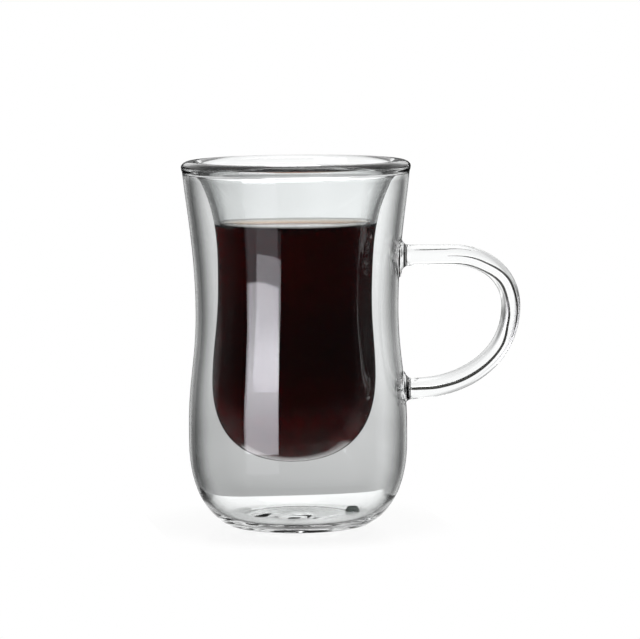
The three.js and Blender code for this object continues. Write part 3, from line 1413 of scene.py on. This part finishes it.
        # Beyond its middle the pool goes on as a strip of the same width
        front = {0: off, 1: (1.0, 0.0, 0.0)}
        off = add_node(tree, "VectorMath", front, operation="MINIMUM").outputs[0]
        edge = self.pool_r + self.pool_edge
        ends = (self.pool_r, edge, self.table_through, self.table_unlit)
        pool = remap(tree, length(tree, off), *ends, soft=True)
        away = length(tree, place)
        rest = remap(tree, away, edge, self.pool_r + 2 * self.pool_edge, 0.0, self.table_far)
        mirrored = maths(tree, "GREATER_THAN", path["Glossy Depth"], HALF)
        lit = maths(tree, "MAXIMUM", pool, blend(tree, mirrored, rest, 0.0))
        y = add_node(tree, "SeparateXYZ", {0: place}).outputs["Y"]
        in_front = remap(tree, y, self.mirror_y + self.mirror_edge, self.mirror_y)
        below_cup = maths(tree, "MULTIPLY", self.cup_mirror(tree), in_front)
        return blend(tree, below_cup, lit, self.table_mirrored)

    def floor(self) -> None:
        """Lays the white table top, which keeps a faint shadow and mirror image of the mug."""
        deep, middle = self.table_back + self.table_front, (self.table_back - self.table_front) / 2
        drop, turn = self.table_drop, self.table_turn
        table = sheet("table", 2 * self.table_side, deep, middle, -drop, turn)
        made, tree = blank_material("white_table")
        place = add_node(tree, "TexCoord").outputs["Object"]
        path = add_node(tree, "LightPath").outputs
        level = blend(tree, path["Is Singular Ray"], 1.0, self.table_light(tree, place))
        glow = {"Color": linear(WHITE), "Strength": level}
        white = add_node(tree, "Emission", glow).outputs[0]
        look = {
            "Base Color": linear(self.table_colour),
            "Roughness": self.table_rough,
            "IOR": self.table_ior,
        }
        board = add_node(tree, "BsdfPrincipled", look).outputs[0]
        ends = (self.shadow_from, self.shadow_to, self.shadow, 0.0)
        near = remap(tree, length(tree, place), *ends, soft=True)
        shaded = maths(tree, "MAXIMUM", near, path["Is Diffuse Ray"])
        both = add_node(tree, "MixShader", {0: shaded, 1: white, 2: board}).outputs[0]
        add_node(tree, "OutputMaterial", {"Surface": both})
        table.data.materials.append(made)

    def panel(self) -> None:
        """Stands the tall softbox to the left of the camera, brightest below its middle."""
        tall, turn = self.key_high - self.key_low, math.radians(self.key_turn)
        left, front = self.key_away * math.sin(turn), self.key_away * math.cos(turn)
        key = sheet("key_panel", self.key_wide, tall, tall / 2)
        key.location = (-left, -front, self.key_low)
        key.rotation_euler = (math.radians(90), 0.0, math.pi - turn)
        key.visible_camera = False
        made, tree = blank_material("softbox_cloth")
        place = add_node(tree, "TexCoord").outputs["Generated"]
        height = add_node(tree, "SeparateXYZ", {0: place}).outputs["Y"]
        fall = self.ramp(tree, height, list(self.key_fall))
        # Only the near walls mirror it, and straight through the glass it isn't in the way
        path = add_node(tree, "LightPath").outputs
        near = remap(tree, path["Transmission Depth"], *self.key_faces)
        shown = maths(tree, "MULTIPLY", near, maths(tree, "MINIMUM", path["Glossy Depth"], 1.0))
        strength = maths(tree, "MULTIPLY", fall, self.key_level)
        light = {"Color": linear(self.key_colour), "Strength": strength}
        glow = add_node(tree, "Emission", light).outputs[0]
        clear = add_node(tree, "BsdfTransparent").outputs[0]
        both = add_node(tree, "MixShader", {0: shown, 1: clear, 2: glow}).outputs[0]
        add_node(tree, "OutputMaterial", {"Surface": both})
        key.data.materials.append(made)

    def top_light(self) -> None:
        """Hangs a soft lamp over the table."""
        data = bpy.data.lights.new("top", "AREA")
        data.size = self.lamp_wide
        data.energy = self.lamp_watts
        lamp = bpy.data.objects.new("top", data)
        bpy.context.scene.collection.objects.link(lamp)
        lamp.location = self.lamp_at
        lamp.rotation_mode = "QUATERNION"
        lamp.rotation_quaternion = (-lamp.location).to_track_quat("-Z", "Y")
        lamp.visible_camera = False

    def surroundings(self) -> None:
        """White to the eye; grey paper, card and tent through the glass; dark room in mirrors."""
        world = bpy.data.worlds.new("surroundings")
        bpy.context.scene.world = world
        world.use_nodes = True
        tree = world.node_tree
        tree.nodes.clear()
        path = add_node(tree, "LightPath").outputs
        spot = add_node(tree, "TexCoord").outputs["Generated"]
        way = add_node(tree, "SeparateXYZ", {0: spot}).outputs
        flat = add_node(tree, "CombineXYZ", {"X": way["Y"], "Y": way["X"]}).outputs[0]
        turn = add_node(tree, "TexGradient", {0: flat}, gradient_type="RADIAL").outputs["Fac"]
        rise = remap(tree, way["Z"], -1.0, 1.0)
        lit = self.scale(tree, turn, rise, self.around, self.upward, self.paper)
        card = self.scale(tree, turn, rise, self.card_around, self.card_upward, 1.0)
        one_wall = maths(tree, "LESS_THAN", path["Transmission Depth"], self.wall_faces)
        backed = blend(tree, maths(tree, "MULTIPLY", card, one_wall), lit, self.card)
        overhead = self.scale(tree, turn, rise, self.tent_around, self.tent_upward, 1.0)
        tented = blend(tree, overhead, backed, self.tent)
        glass_sees = blend(tree, self.paper_met(tree, way["Y"], way["Z"]), self.room, tented)
        matt_sees = blend(tree, path["Is Diffuse Ray"], 1.0, self.matt_light)
        things_see = blend(tree, path["Is Singular Ray"], matt_sees, glass_sees)
        eye_sees = blend(tree, path["Is Camera Ray"], things_see, 1.0)
        light = {"Color": linear(WHITE), "Strength": eye_sees}
        sky = add_node(tree, "Background", light).outputs[0]
        add_node(tree, "OutputWorld", {"Surface": sky})
        bpy.context.scene.view_settings.view_transform = "Standard"
        # Light runs far inside the rim and the base before it leaves the glass
        paths = bpy.context.scene.cycles
        paths.max_bounces = paths.transmission_bounces = self.bounces
        paths.glossy_bounces = self.mirror_bounces

    def build(self) -> None:
        """Sets up the whole studio."""
        self.camera()
        self.floor()
        self.panel()
        self.top_light()
        self.surroundings()


def main() -> None:
    """Builds and dresses every piece, then the studio."""
    logging.basicConfig(level=logging.INFO, format="%(name)s: %(message)s")
    body, handle, plug, coffee = BlownBody(), RodHandle(), VentPlug(), CoffeeFill()
    glass = body.build()
    combine(glass, plug.cutter(body), Meeting.CUT)
    combine(glass, handle.build(body), Meeting.JOIN)
    for foot_z in (handle.top_z, handle.bottom_z):
        combine(glass, handle.dent(body, foot_z), Meeting.JOIN)
    body.dress(glass, coffee.level)
    handle.dress(glass, body)
    smooth(glass, SHARP_GLASS)
    LOG.info("glass body: %d faces", len(glass.data.polygons))
    button = plug.build(body)
    plug.dress(button)
    smooth(button, SHARP_GLASS)
    LOG.info("vent plug: %d faces", len(button.data.polygons))
    drink = coffee.build(body)
    coffee.dress(drink)
    smooth(drink, SHARP_DRINK)
    LOG.info("coffee: %d faces", len(drink.data.polygons))
    Studio().build()


if __name__ == "__main__":
    main()
